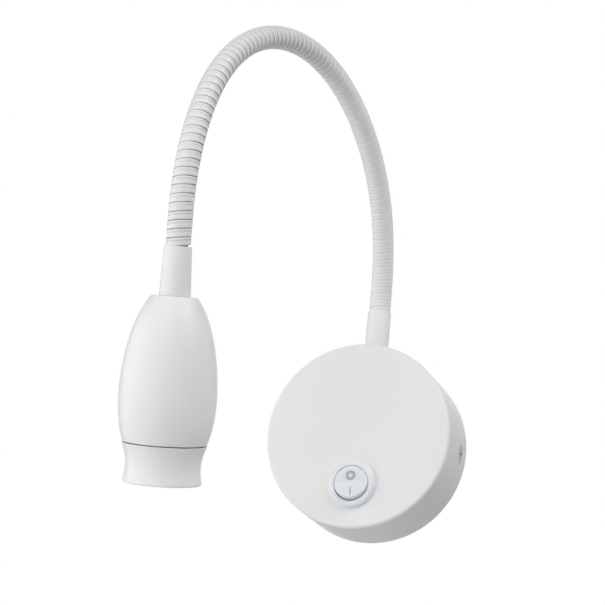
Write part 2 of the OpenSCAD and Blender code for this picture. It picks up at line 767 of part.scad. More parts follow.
canopy_shell();
wall_bracket();
bracket_ears();
side_screws();
earth_screw();
earth_tag();
led_driver();
driver_screws();
terminal_block();
terminal_screws();
switch_housing();
switch_pin();
switch_terminals();
switch_rocker();
switch_plunger();
contact_lever();
base_sleeve();
base_nipple();
base_nut();
base_washer();
neck_lead();
for (k = [0 : last]) {
    neck_core(k);
    neck_winding(k);
}
head_sleeve();
head_nipple();
head_nut();
head_shell();
heat_sink();
led_board();
led_chip();
board_screws();
lens_holder();
lens();
lens_seal();
front_ring();
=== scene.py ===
"""Looks of the wall spot lamp: finishes, neck winding, switch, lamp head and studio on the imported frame."""

import json
import logging
import math
from collections.abc import Sequence
from dataclasses import dataclass, field
from enum import Enum

import bmesh
import bpy
from mathutils import Matrix, Vector


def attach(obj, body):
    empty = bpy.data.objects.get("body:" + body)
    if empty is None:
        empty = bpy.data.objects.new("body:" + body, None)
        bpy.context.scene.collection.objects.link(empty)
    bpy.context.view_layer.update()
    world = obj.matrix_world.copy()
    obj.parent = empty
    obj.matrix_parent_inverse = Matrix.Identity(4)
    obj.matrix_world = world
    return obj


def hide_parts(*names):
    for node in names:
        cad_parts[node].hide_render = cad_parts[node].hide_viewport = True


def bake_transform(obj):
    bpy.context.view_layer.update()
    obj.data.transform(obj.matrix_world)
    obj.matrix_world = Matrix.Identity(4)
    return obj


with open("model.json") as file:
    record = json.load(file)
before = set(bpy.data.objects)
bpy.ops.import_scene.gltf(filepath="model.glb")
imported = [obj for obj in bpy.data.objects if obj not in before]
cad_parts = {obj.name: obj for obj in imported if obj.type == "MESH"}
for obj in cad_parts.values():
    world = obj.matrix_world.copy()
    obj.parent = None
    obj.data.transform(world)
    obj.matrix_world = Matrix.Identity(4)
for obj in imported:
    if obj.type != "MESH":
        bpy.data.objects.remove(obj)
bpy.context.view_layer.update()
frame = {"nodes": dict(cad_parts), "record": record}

MM = 0.001
FULL_TURN = 2 * math.pi
QUARTER_STEPS = 12
QUARTER = [math.radians(90 * i / QUARTER_STEPS) for i in range(QUARTER_STEPS + 1)]
WALL = Matrix.Rotation(math.radians(90), 4, "X")
WHITE = (1.0, 1.0, 1.0, 1.0)

# Detail of the fine grain, and scale and detail of the broad drift
FINE_DETAIL = 2.0
BROAD_SCALE = 45.0
BROAD_DETAIL = 3.0

# Largest share of an edge that a rounding takes, millimetres within which points count as one,
# and the angle past which an edge stays sharp
ROUNDING_SHARE = 0.49
ON_AXIS = 1e-6
MERGE_WITHIN = 1e-5
SHARP_ANGLE = math.radians(35)

Material = bpy.types.Material
Mesh = bpy.types.Mesh
Node = bpy.types.Node
Piece = bpy.types.Object
Socket = bpy.types.NodeSocket
Tree = bpy.types.NodeTree

log = logging.getLogger("spot_lamp")


class Slot(Enum):
    """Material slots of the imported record."""

    WHITE_PAINT = "white_paint"
    WHITE_WINDING = "white_winding"
    INNER_COIL = "inner_coil"
    SWITCH_PLASTIC = "switch_plastic"
    ZINC_PLATE = "zinc_plate"
    PLATED_SCREW = "plated_screw"
    BRASS = "brass"
    DRIVER_CASE = "driver_case"
    BLOCK_PLASTIC = "block_plastic"
    DARK_PLASTIC = "dark_plastic"
    LEAD_RUBBER = "lead_rubber"
    DARK_RUBBER = "dark_rubber"
    BARE_ALUMINIUM = "bare_aluminium"
    BOARD_WHITE = "board_white"
    PHOSPHOR = "phosphor"
    CLEAR_LENS = "clear_lens"


class NodeSketch:
    """Writes nodes, links and field arithmetic into one node tree."""

    def __init__(self, tree: Tree) -> None:
        """Keeps the tree that the nodes go into."""
        self.tree = tree

    def add(self, kind: str, inputs: dict[str, object] | None = None, **settings: object) -> Node:
        """Adds a node.

        Args:
            kind: Blender's identifier of the node type.
            inputs: sockets or plain values for its named inputs.
            settings: properties to set on the node.

        Returns:
            The new node.
        """
        node = self.tree.nodes.new(kind)
        for name, value in settings.items():
            setattr(node, name, value)
        self.fill(node, inputs or {})
        return node

    def find(self, kind: str) -> Node:
        """Gives the tree's first node of a type."""
        return next(node for node in self.tree.nodes if node.type == kind)

    def feed(self, socket: Socket, value: object) -> None:
        """Links another socket to a socket, or sets it to a constant.

        Args:
            socket: input to feed.
            value: output socket or plain value.
        """
        if isinstance(value, Socket):
            self.tree.links.new(value, socket)
        else:
            socket.default_value = value

    def fill(self, node: Node, inputs: dict[str, object]) -> None:
        """Feeds named inputs of a node.

        Args:
            node: node to feed.
            inputs: sockets or plain values by the inputs' names.
        """
        for name, value in inputs.items():
            self.feed(node.inputs[name], value)

    def math(self, operation: str, *values: object) -> Socket:
        """Adds a Math node.

        Args:
            operation: name of the operation.
            values: sockets or numbers for its inputs.

        Returns:
            The result's socket.
        """
        node = self.add("ShaderNodeMath", operation=operation)
        for socket, value in zip(node.inputs, values):
            self.feed(socket, value)
        return node.outputs[0]

    def vector(self, operation: str, *values: object) -> Socket:
        """Adds a Vector Math node.

        Args:
            operation: name of the operation.
            values: sockets or vectors for its inputs; Scale takes its number last.

        Returns:
            The result's socket, a number for a dot product.
        """
        node = self.add("ShaderNodeVectorMath", operation=operation)
        sockets = [node.inputs[0], node.inputs["Scale"]] if operation == "SCALE" else node.inputs
        for socket, value in zip(sockets, values):
            self.feed(socket, value)
        return node.outputs["Value" if operation == "DOT_PRODUCT" else "Vector"]

    def between(self, value: object, span: tuple[object, object], result: tuple[object, object],
                smooth: bool = False) -> Socket:
        """Maps a value from one span to another and holds it at the ends.

        Args:
            value: number or socket to map.
            span: where the value starts and ends.
            result: what those ends map to.
            smooth: eases in and out of the ends.

        Returns:
            The mapped value's socket.
        """
        names = ("Value", "From Min", "From Max", "To Min", "To Max")
        node = self.add("ShaderNodeMapRange", dict(zip(names, (value, *span, *result))), clamp=True,
                        interpolation_type="SMOOTHSTEP" if smooth else "LINEAR")
        return node.outputs["Result"]

    def mix(self, share: Socket, first: object, second: object) -> Socket:
        """Goes from a first value to a second one as a share goes from 0 to 1."""
        return self.between(share, (0.0, 1.0), (first, second))


def declare(tree: Tree, direction: str, kind: str, *names: str) -> None:
    """Gives a node tree named inputs or outputs of one type.

    Args:
        direction: "INPUT" or "OUTPUT".
        kind: socket type without its prefix, such as "Float".
        names: names of the sockets.
    """
    for name in names:
        tree.interface.new_socket(name, in_out=direction, socket_type="NodeSocket" + kind)


def build_surface_grain() -> Tree:
    """Builds the shader group of a surface's fine grain, colour drift and uneven gloss.

    Returns:
        The group with inputs Color, Stretch, Roughness, Grain Size, Drift and Gloss Drift.
    """
    tree = bpy.data.node_groups.new("surface_grain", "ShaderNodeTree")
    declare(tree, "INPUT", "Color", "Color")
    declare(tree, "INPUT", "Vector", "Stretch")
    declare(tree, "INPUT", "Float", "Roughness", "Grain Size", "Drift", "Gloss Drift")
    declare(tree, "OUTPUT", "Color", "Color")
    declare(tree, "OUTPUT", "Float", "Roughness", "Height")
    sketch = NodeSketch(tree)
    given = sketch.add("NodeGroupInput").outputs
    place = sketch.vector("MULTIPLY", sketch.add("ShaderNodeTexCoord").outputs["Object"], given["Stretch"])
    fine, broad = (
        sketch.add("ShaderNodeTexNoise", {"Vector": place, "Scale": scale, "Detail": detail}).outputs["Fac"]
        for scale, detail in ((sketch.math("DIVIDE", 1.0, given["Grain Size"]), FINE_DETAIL),
                              (BROAD_SCALE, BROAD_DETAIL)))
    shade = sketch.math("SUBTRACT", 1.0, sketch.math("MULTIPLY", broad, given["Drift"]))
    swing = sketch.math("SUBTRACT", broad, 0.5)
    sketch.add("NodeGroupOutput", {
        "Color": sketch.vector("SCALE", given["Color"], shade),
        "Roughness": sketch.math("MULTIPLY_ADD", swing, given["Gloss Drift"], given["Roughness"]),
        "Height": fine})
    return tree


@dataclass(frozen=True)
class Finish:
    """How one kind of surface looks.

    Attributes:
        slot: material slot that it stands for.
        color: linear base colour.
        roughness: mean roughness.
        grain: size of its grain in millimetres.
        relief: height of its grain in millimetres.
        stretch: how the grain is drawn out along X, Y and Z.
        drift: share by which the colour varies.
        gloss_drift: span by which the roughness varies.
        metallic: 1 for bright metal, less for a dull plating, 0 for the rest.
        transmission: 1 for glass and clear plastic.
        ior: index of refraction.
        painted_groove_shade: painted shade in the grooves, the share by which the colour darkens where a
            groove is deepest, for a piece that carries a groove attribute.
        soft_depth: how far light spreads inside the material, in millimetres, 0 where it does not.
    """

    slot: Slot
    color: tuple[float, float, float]
    roughness: float
    grain: float = 0.5
    relief: float = 0.004
    stretch: tuple[float, float, float] = (1.0, 1.0, 1.0)
    drift: float = 0.03
    gloss_drift: float = 0.08
    metallic: float = 0.0
    transmission: float = 0.0
    ior: float = 1.5
    painted_groove_shade: float = 0.0
    soft_depth: float = 0.0

    def material(self, grain_group: Tree) -> Material:
        """Builds the finish's material.

        Args:
            grain_group: the shared surface grain.

        Returns:
            The material, named after its slot.
        """
        material = bpy.data.materials.new(self.slot.value)
        material.use_nodes = True
        material.diffuse_color = (*self.color, 1.0)
        sketch = NodeSketch(material.node_tree)
        grain = sketch.add("ShaderNodeGroup", {
            "Color": (*self.color, 1.0), "Roughness": self.roughness, "Grain Size": self.grain * MM,
            "Stretch": self.stretch, "Drift": self.drift, "Gloss Drift": self.gloss_drift,
        }, node_tree=grain_group).outputs
        color = grain["Color"]
        # Painted shade: the colour darkens with the groove attribute, standing in for the shade that falls
        # into the band's grooves.
        if self.painted_groove_shade > 0:
            groove = sketch.add("ShaderNodeAttribute", attribute_name="groove").outputs["Fac"]
            share_left_by_painted_shade = sketch.math("SUBTRACT", 1.0, sketch.math("MULTIPLY", groove, self.painted_groove_shade))
            color = sketch.vector("SCALE", color, share_left_by_painted_shade)
        bump = sketch.add("ShaderNodeBump", {
            "Strength": 1.0, "Distance": self.relief * MM, "Height": grain["Height"]})
        sketch.fill(sketch.find("BSDF_PRINCIPLED"), {
            "Base Color": color, "Roughness": grain["Roughness"], "Normal": bump.outputs["Normal"],
            "Metallic": self.metallic, "IOR": self.ior, "Transmission Weight": self.transmission,
            "Subsurface Weight": 1.0 if self.soft_depth > 0 else 0.0,
            "Subsurface Radius": (1.0, 1.0, 1.0), "Subsurface Scale": self.soft_depth * MM})
        return material


FINISHES = (
    Finish(Slot.WHITE_PAINT, (0.80, 0.80, 0.80), 0.40, grain=0.7, relief=0.006, drift=0.02),
    # The winding's grooves get painted shade: its colour darkens with the groove depth.
    Finish(Slot.WHITE_WINDING, (0.79, 0.79, 0.79), 0.36, painted_groove_shade=0.7),
    Finish(Slot.INNER_COIL, (0.16, 0.16, 0.17), 0.50, grain=0.3, stretch=(1.0, 1.0, 4.0), drift=0.2,
           metallic=1.0),
    Finish(Slot.SWITCH_PLASTIC, (0.77, 0.795, 0.825), 0.30, grain=0.35, relief=0.003, drift=0.02,
           soft_depth=0.5),
    Finish(Slot.ZINC_PLATE, (0.72, 0.73, 0.75), 0.42, grain=1.6, relief=0.002, drift=0.18, metallic=0.8),
    Finish(Slot.PLATED_SCREW, (0.74, 0.73, 0.71), 0.50, grain=0.25, stretch=(0.2, 1.0, 1.0), drift=0.1,
           metallic=0.5),
    Finish(Slot.BRASS, (0.72, 0.52, 0.22), 0.30, grain=0.3, stretch=(1.0, 0.2, 1.0), drift=0.12,
           metallic=1.0),
    Finish(Slot.DRIVER_CASE, (0.74, 0.74, 0.73), 0.46, grain=0.4, relief=0.012, drift=0.04),
    Finish(Slot.BLOCK_PLASTIC, (0.72, 0.70, 0.64), 0.42, grain=0.4, relief=0.006, drift=0.04),
    Finish(Slot.DARK_PLASTIC, (0.06, 0.06, 0.065), 0.42, grain=0.3, drift=0.1),
    Finish(Slot.LEAD_RUBBER, (0.045, 0.045, 0.05), 0.55, grain=0.4, relief=0.006, drift=0.15),
    Finish(Slot.DARK_RUBBER, (0.05, 0.05, 0.052), 0.62, grain=0.3, relief=0.008, drift=0.15),
    Finish(Slot.BARE_ALUMINIUM, (0.66, 0.67, 0.69), 0.36, grain=0.4, stretch=(1.0, 1.0, 0.1), drift=0.1,
           metallic=1.0),
    Finish(Slot.BOARD_WHITE, (0.78, 0.78, 0.76), 0.38, grain=0.6, relief=0.003, drift=0.04),
    Finish(Slot.PHOSPHOR, (0.80, 0.60, 0.12), 0.45, grain=0.2, relief=0.006, drift=0.12),
    Finish(Slot.CLEAR_LENS, (0.97, 0.98, 0.98), 0.03, grain=4.0, relief=0.001, drift=0.01, gloss_drift=0.02,
           transmission=1.0, ior=1.49),
)
MARK_PRINT = Finish(Slot.SWITCH_PLASTIC, (0.40, 0.42, 0.45), 0.5, grain=0.2, drift=0.06)


class FinishBook:
    """All finishes as materials, looked up by their slot."""

    def __init__(self) -> None:
        """Builds the shared grain and one material for each finish."""
        grain_group = build_surface_grain()
        self.materials = {finish.slot: finish.material(grain_group) for finish in FINISHES}
        self.mark_gray = MARK_PRINT.material(grain_group)
        self.mark_gray.name = "printed_mark"

    def of(self, slot: Slot) -> Material:
        """Gives the material of a slot."""
        return self.materials[slot]


@dataclass(frozen=True)
class Corner:
    """A corner of a turned outline, in millimetres: distance from the axis, along it, and its rounding."""

    across: float
    along: float
    rounding: float = 0.0

    def at(self) -> Vector:
        """Gives the corner as a flat vector."""
        return Vector((self.across, self.along))


def soften(corners: Sequence[Corner], steps: int = 6) -> list[Vector]:
    """Rounds the corners of a closed outline with true arcs.

    Args:
        corners: the outline in order.
        steps: straight steps in each arc.

    Returns:
        The points of the rounded outline.
    """
    outline: list[Vector] = []
    for i, corner in enumerate(corners):
        here = corner.at()
        if corner.rounding <= 0:
            outline.append(here)
            continue
        back = corners[i - 1].at() - here
        ahead = corners[(i + 1) % len(corners)].at() - here
        half = back.angle(ahead) / 2
        longest = min(back.length, ahead.length) * ROUNDING_SHARE
        reach = min(corner.rounding / math.tan(half), longest)
        first = here + back.normalized() * reach
        final = here + ahead.normalized() * reach
        for step in range(steps + 1):
            t = step / steps
            weights = ((1 - t) ** 2, 2 * math.sin(half) * t * (1 - t), t * t)
            outline.append((first * weights[0] + here * weights[1] + final * weights[2]) / sum(weights))
    return outline


def turned_mesh(name: str, outline: Sequence[Vector], place: Matrix, segments: int = 128) -> Mesh:
    """Turns a closed outline about its axis.

    Args:
        name: name of the mesh.
        outline: points as distance from the axis and along it, in millimetres.
        place: where the axis stands, in millimetres.
        segments: steps round the axis.

    Returns:
        The closed mesh in metres, smooth where it curves.
    """
    shape = bmesh.new()
    rings: list[list[bmesh.types.BMVert]] = []
    for point in outline:
        count = 1 if point.x < ON_AXIS else segments
        angles = (FULL_TURN * i / segments for i in range(count))
        places = (Vector((point.x * math.cos(a), point.x * math.sin(a), point.y)) for a in angles)
        rings.append([shape.verts.new(place @ at) for at in places])
    for first, second in zip(rings, rings[1:] + rings[:1]):
        for i in range(segments):
            corners = [first[i % len(first)], first[(i + 1) % len(first)],
                       second[(i + 1) % len(second)], second[i % len(second)]]
            face = list(dict.fromkeys(corners))
            if len(face) > 2:
                shape.faces.new(face)
    return finished_mesh(name, shape)


def finished_mesh(name: str, shape: bmesh.types.BMesh) -> Mesh:
    """Turns a shape in millimetres into a closed mesh in metres with outward faces.

    Args:
        name: name of the mesh.
        shape: the shape, which is freed.

    Returns:
        The mesh.
    """
    bmesh.ops.remove_doubles(shape, verts=shape.verts, dist=MERGE_WITHIN)
    bmesh.ops.recalc_face_normals(shape, faces=shape.faces)
    bmesh.ops.scale(shape, vec=(MM, MM, MM), verts=shape.verts)
    for face in shape.faces:
        face.smooth = True
    mesh = bpy.data.meshes.new(name)
    shape.to_mesh(mesh)
    shape.free()
    mesh.set_sharp_from_angle(angle=SHARP_ANGLE)
    return mesh


def add_piece(name: str, mesh: Mesh, material: Material,
              replaced: Sequence[str] = ()) -> Piece:
    """Puts a finished mesh into the scene as a piece of the lamp.

    Args:
        name: name of the piece.
        mesh: its mesh, in place.
        material: its finish.
        replaced: CAD nodes that it stands for.

    Returns:
        The new object.
    """
    mesh.materials.clear()
    mesh.materials.append(material)
    piece = bpy.data.objects.new(name, mesh)
    bpy.context.scene.collection.objects.link(piece)
    if replaced:
        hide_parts(*replaced)
    log.info("piece %s: %d faces, stands for %s", name, len(mesh.polygons), ", ".join(replaced) or "itself")
    return piece


@dataclass(frozen=True)
class Station:
    """A place on the neck's centre line.

    Attributes:
        distance: millimetres from the neck's start.
        place: the point.
        along: direction of the line.
        side: direction that is carried along without twist.
        inward: direction of the bend, longer where it is tighter.
    """

    distance: float
    place: Vector
    along: Vector
    side: Vector
    inward: Vector


@dataclass
class NeckRoute:
    """Centre line of the neck in millimetres: a row of arcs, with straight tails in the sleeves."""

    foot: tuple[float, float, float] = (0.0, -14.0, 67.0)
    length: float = 318.0
    bends: tuple[float, ...] = (11.5, 17, 15, 13.5, 15, 17, 18, 18.5, 19.5, 18.5, 17, 15, 2.5)
    turns: tuple[float, ...] = (13, -5, -17, -17, -15, -12, -10, -8, -9, -12, -16, -21, -26)
    base_tail: float = 35.8
    head_tail: float = 80.3
    tightest: float = 80.0
    stations: list[Station] = field(default_factory=list)
    head_frame: Matrix = field(default_factory=Matrix)

    def __post_init__(self) -> None:
        """Walks the line and keeps its stations and the head's frame."""
        here = Matrix.Translation(self.foot) @ Matrix.Rotation(math.radians(-90), 4, "Z")
        start = here @ Matrix.Translation((0, 0, -self.base_tail))
        self.stations.append(self._station(-self.base_tail, start, 0, 0))
        walked = 0.0
        for k, (bend, turn) in enumerate(zip(self.bends, self.turns)):
            length = self.stretch_length(k)
            steps = round(length)
            start = here @ Matrix.Rotation(math.radians(turn), 4, "Z")
            back = Matrix.Rotation(math.radians(-turn), 4, "Z")
            radius = length / math.radians(bend)
            for i in range(steps + 1):
                angle = math.radians(bend) * i / steps
                move = Matrix.Translation((radius * (1 - math.cos(angle)), 0, radius * math.sin(angle)))
                here = start @ move @ Matrix.Rotation(angle, 4, "Y") @ back
                if i < steps:
                    self.stations.append(self._station(walked + length * i / steps, here, turn, radius))
            walked += length
        self.stations.append(self._station(walked, here, 0, 0))
        end = here @ Matrix.Translation((0, 0, self.head_tail))
        self.stations.append(self._station(walked + self.head_tail, end, 0, 0))
        self.head_frame = here

    def _station(self, distance: float, here: Matrix, turn: float, radius: float) -> Station:
        """Makes a station from a frame on the line.

        Args:
            distance: millimetres from the neck's start.
            here: frame with the line along its Z.
            turn: side that the line bends to, in degrees.
            radius: radius of the bend, 0 where it is straight.

        Returns:
            The station.
        """
        axes = here.to_3x3()
        towards = axes @ Vector((math.cos(math.radians(turn)), math.sin(math.radians(turn)), 0))
        tightness = self.tightest / radius if radius else 0.0
        return Station(distance, here.to_translation(), axes.col[2].copy(), axes.col[0].copy(),
                       towards * tightness)

    def stretch_length(self, k: int) -> float:
        """Gives the length of a stretch, half at both ends."""
        whole = self.length / (len(self.bends) - 1)
        return whole / 2 if k in (0, len(self.bends) - 1) else whole

    def middle_of(self, k: int) -> float:
        """Gives the distance of a stretch's middle; the end stretches count as their outer ends."""
        return self.length * k / (len(self.bends) - 1)

    def point_at(self, distance: float) -> Vector:
        """Gives the point at a distance from the neck's start.

        Args:
            distance: millimetres along the line.

        Returns:
            The point in metres.
        """
        for first, second in zip(self.stations, self.stations[1:]):
            if distance <= second.distance:
                break
        share = (distance - first.distance) / (second.distance - first.distance)
        return first.place.lerp(second.place, share) * MM

    def mesh(self) -> Mesh:
        """Builds the line as a chain of edges with its directions as attributes.

        Returns:
            The mesh in metres.
        """
        mesh = bpy.data.meshes.new("neck_route")
        chain = [(i, i + 1) for i in range(len(self.stations) - 1)]
        mesh.from_pydata([s.place * MM for s in self.stations], chain, [])
        for name in ("side", "inward"):
            layer = mesh.attributes.new(name, "FLOAT_VECTOR", "POINT")
            layer.data.foreach_set("vector", [x for s in self.stations for x in getattr(s, name)])
        return mesh


def grown_mesh(name: str, route: Mesh, tree: Tree, inputs: dict[str, object]) -> Mesh:
    """Runs a geometry tree on the route and keeps the result as a plain mesh.

    Args:
        name: name of the mesh.
        route: mesh that the tree starts from.
        tree: the geometry tree.
        inputs: values of its named inputs.

    Returns:
        The plain mesh.
    """
    carrier = bpy.data.objects.new(name + "_carrier", route)
    bpy.context.scene.collection.objects.link(carrier)
    modifier = carrier.modifiers.new(tree.name, "NODES")
    modifier.node_group = tree
    for item in tree.interface.items_tree:
        if item.in_out == "INPUT" and item.name in inputs:
            modifier[item.identifier] = inputs[item.name]
    graph = bpy.context.evaluated_depsgraph_get()
    mesh = bpy.data.meshes.new_from_object(carrier.evaluated_get(graph))
    carrier.modifiers.remove(modifier)
    bpy.data.objects.remove(carrier)
    mesh.name = name
    return mesh


class RouteSketch(NodeSketch):
    """Sketch of a geometry tree that grows something along the neck's route."""

    def __init__(self, tree: Tree) -> None:
        """Reads the tree's inputs and turns the route into a curve.

        Args:
            tree: geometry tree with the inputs Route and Finish.
        """
        super().__init__(tree)
        self.given = self.add("NodeGroupInput").outputs
        self.line = self.add("GeometryNodeMeshToCurve", {"Mesh": self.given["Route"]}).outputs["Curve"]

    def sample(self, name: str, distance: Socket) -> Node:
        """Reads a named direction, and the place, of the route at a distance.

        Args:
            name: attribute to read.
            distance: metres from the route's first point.

        Returns:
            The sampling node.
        """
        named = self.add("GeometryNodeInputNamedAttribute", {"Name": name}, data_type="FLOAT_VECTOR")
        inputs = {"Curves": self.line, "Value": named.outputs["Attribute"], "Length": distance}
        return self.add("GeometryNodeSampleCurve", inputs, mode="LENGTH", data_type="FLOAT_VECTOR",
                        use_all_curves=True)

    def outward(self, node: Node, angle: Socket) -> Socket:
        """Gives the direction away from the route at an angle round it.

        Args:
            node: sampling node of the side direction.
            angle: angle in radians.

        Returns:
            The direction's socket.
        """
        along = node.outputs["Tangent"]
        across = self.vector("NORMALIZE", self.vector("CROSS_PRODUCT", along, node.outputs["Value"]))
        side = self.vector("CROSS_PRODUCT", across, along)
        return self.vector("ADD", self.vector("SCALE", side, self.math("COSINE", angle)),
                           self.vector("SCALE", across, self.math("SINE", angle)))

    def give_out(self, name: str, geometry: Socket) -> None:
        """Makes the geometry plain, sets its finish and gives it out.

        Args:
            name: name of the tree's output.
            geometry: what the tree has grown.
        """
        plain = self.add("GeometryNodeRealizeInstances", {"Geometry": geometry}).outputs["Geometry"]
        dressed = self.add("GeometryNodeSetMaterial", {"Geometry": plain, "Material": self.given["Finish"]})
        self.add("NodeGroupOutput", {name: dressed.outputs["Geometry"]})


@dataclass
class WoundBand:
    """Geometry tree of a band wound round the route: a narrow and a wide rib with a groove between them.

    Attributes:
        outer_points: points across the band's outside.
        narrow_power: how flat the narrow rib is.
        wide_power: how flat the wide rib is.
        least_edge_drop: share of the edge's drop that is left on the outside of the bend.
        full_edge_drop_at: how far towards the inside of the bend the drop is whole.
        sleeve_run: length over which the band thins into a sleeve, to either side of its mouth.
        darkest_at: depth at which a groove counts as whole, and its painted shade is darkest.
        merge_within: distance within which points are made one.
        values: named inputs and their sizes. All lengths of the band are in metres.
    """

    outer_points: int = 29
    narrow_power: float = 2.0
    wide_power: float = 4.0
    least_edge_drop: float = 0.4
    full_edge_drop_at: float = 0.2
    sleeve_run: float = 0.6 * MM
    darkest_at: float = 0.3 * MM
    merge_within: float = 0.001 * MM
    values: dict[str, float] = field(default_factory=lambda: {
        "Pitch": 318.0 / 90 * MM, "Radius": 5.2 * MM, "Thickness": 0.8 * MM, "Sleeve Radius": 4.97 * MM,
        "Gap Outside": 0.09 * MM, "Gap Inside": 0.28 * MM,
        "Groove Outside": 0.04 * MM, "Groove Inside": 0.3 * MM,
        "Narrow Share": 0.36, "Narrow Share Inside": 0.5, "Edge Width": 0.3 * MM, "Edge Drop": 0.12 * MM,
        "Looseness At Foot": 0.22, "Loose From": 0.34, "Loose To": 0.57, "Looseness At Head": 0.80,
        "Firm From": 0.92, "Firm To": 0.98})

    def tree(self) -> Tree:
        """Builds the geometry tree.

        Returns:
            The tree, which takes the route and gives the wound band.
        """
        tree = bpy.data.node_groups.new("wound_band", "GeometryNodeTree")
        declare(tree, "INPUT", "Geometry", "Route")
        declare(tree, "INPUT", "Int", "Steps")
        declare(tree, "INPUT", "Material", "Finish")
        declare(tree, "INPUT", "Float", "Tail", "First Turn", "Last Turn", "Phase", "Neck Length",
                *self.values)
        declare(tree, "OUTPUT", "Geometry", "Winding")
        sketch = RouteSketch(tree)
        corners = self.outer_points + 2
        span = sketch.math("ADD", sketch.given["Steps"], 2.0)
        half = sketch.math("MULTIPLY", span, 0.5)
        sheet = sketch.add("GeometryNodeMeshGrid", {
            "Size X": span, "Size Y": float(corners),
            "Vertices X": sketch.math("ADD", span, 1.0), "Vertices Y": corners + 1}).outputs["Mesh"]
        position = sketch.add("GeometryNodeInputPosition").outputs[0]
        spot = sketch.add("ShaderNodeSeparateXYZ", {"Vector": position}).outputs
        step = sketch.math("ROUND", sketch.math("ADD", half, spot["X"]))
        corner = sketch.math("ROUND", sketch.math("ADD", spot["Y"], corners / 2))
        place, groove = self._place(sketch, step, sketch.math("MODULO", corner, corners))
        to_end = sketch.math("SUBTRACT", half, sketch.math("ABSOLUTE", spot["X"]))
        geometry = sheet
        # The groove depth is stored on the points; the winding's finish darkens its colour by it as painted
        # shade in the grooves.
        for kind, inputs, settings in (
                ("SetShadeSmooth", {"Shade Smooth": sketch.math("GREATER_THAN", to_end, 1.0)}, {}),
                ("StoreNamedAttribute", {"Name": "groove", "Value": groove},
                 {"data_type": "FLOAT", "domain": "POINT"}),
                ("SetPosition", {"Position": place}, {}),
                ("MergeByDistance", {"Distance": self.merge_within}, {})):
            node = sketch.add("GeometryNode" + kind, {"Geometry": geometry, **inputs}, **settings)
            geometry = node.outputs["Geometry"]
        sketch.give_out("Winding", geometry)
        return tree

    def _place(self, sketch: RouteSketch, step: Socket, corner: Socket) -> tuple[Socket, Socket]:
        """Works out where each point of the band goes.

        Args:
            sketch: tree to write into.
            step: number of the cut along the band; the first and last close its ends.
            corner: number of the point across the band.

        Returns:
            The place, and how deep in a groove it lies.
        """
        given, calc, between, mix = sketch.given, sketch.math, sketch.between, sketch.mix
        last_step = calc("ADD", given["Steps"], 1.5)
        closing = calc("ADD", calc("LESS_THAN", step, 0.5), calc("GREATER_THAN", step, last_step))
        share = calc("DIVIDE", calc("SUBTRACT", step, 1.0), given["Steps"])
        turn = mix(share, given["First Turn"], given["Last Turn"])
        angle = calc("MULTIPLY", calc("ADD", turn, given["Phase"]), FULL_TURN)
        middle = calc("MULTIPLY_ADD", turn, given["Pitch"], given["Tail"])
        inner = calc("GREATER_THAN", corner, self.outer_points - 0.5)
        back = calc("GREATER_THAN", corner, self.outer_points + 0.5)
        across = between(corner, (0.0, self.outer_points - 1.0), (0.0, 1.0))
        across = calc("MULTIPLY", across, calc("SUBTRACT", 1.0, back))
        across = mix(closing, across, 0.5)

        # Which side of the bend the point is on, and how loosely the band lies there
        bend = sketch.sample("inward", middle).outputs["Value"]
        facing = sketch.outward(sketch.sample("side", middle), angle)
        inside = sketch.vector("DOT_PRODUCT", bend, facing)
        from_start = calc("SUBTRACT", middle, given["Tail"])
        way = calc("DIVIDE", from_start, given["Neck Length"])
        loose = between(way, (given["Loose From"], given["Loose To"]),
                        (given["Looseness At Foot"], 1.0), smooth=True)
        firm = between(way, (given["Firm From"], given["Firm To"]),
                       (1.0, given["Looseness At Head"]), smooth=True)
        loose = calc("MULTIPLY", loose, firm)

        # Width of the band, and the depths of its groove and edges
        gap = between(inside, (-1.0, 1.0), (given["Gap Outside"], given["Gap Inside"]))
        depth = between(inside, (-1.0, 1.0), (given["Groove Outside"], given["Groove Inside"]))
        depth = calc("MULTIPLY", depth, loose)
        least_drop = calc("MULTIPLY", given["Edge Drop"], self.least_edge_drop)
        edge_drop = between(inside, (-1.0, self.full_edge_drop_at), (least_drop, given["Edge Drop"]))
        narrow_share = mix(inside, given["Narrow Share"], given["Narrow Share Inside"])
        width = calc("SUBTRACT", given["Pitch"], calc("MULTIPLY", gap, calc("POWER", loose, 2.0)))
        narrow = between(across, (0.0, narrow_share), (-1.0, 1.0))
        wide = between(across, (narrow_share, 1.0), (-1.0, 1.0))
        rib = mix(calc("GREATER_THAN", across, narrow_share),
                  calc("POWER", calc("ABSOLUTE", narrow), self.narrow_power),
                  calc("POWER", calc("ABSOLUTE", wide), self.wide_power))
        edge = calc("MULTIPLY", calc("MINIMUM", across, calc("SUBTRACT", 1.0, across)), width)
        rounded = between(edge, (0.0, given["Edge Width"]),
                          (calc("MULTIPLY", edge_drop, loose), 0.0), smooth=True)
        drop = calc("MULTIPLY_ADD", rib, depth, rounded)

        # Distance from the route, less inside the sleeves and on the band's inner face
        free = calc("MINIMUM", from_start, calc("SUBTRACT", given["Neck Length"], from_start))
        full = between(free, (-self.sleeve_run, self.sleeve_run),
                       (given["Sleeve Radius"], given["Radius"]), smooth=True)
        floor = calc("SUBTRACT", full, given["Thickness"])
        radius = mix(inner, calc("SUBTRACT", full, drop), floor)
        radius = mix(closing, radius, floor)
        shift = calc("MULTIPLY", calc("SUBTRACT", across, 0.5), width)
        sampled = sketch.sample("side", calc("ADD", middle, shift))
        away = sketch.vector("SCALE", sketch.outward(sampled, angle), radius)
        place = sketch.vector("ADD", sampled.outputs["Position"], away)
        return place, calc("MAXIMUM", between(drop, (0.0, self.darkest_at), (0.0, 1.0)), inner)


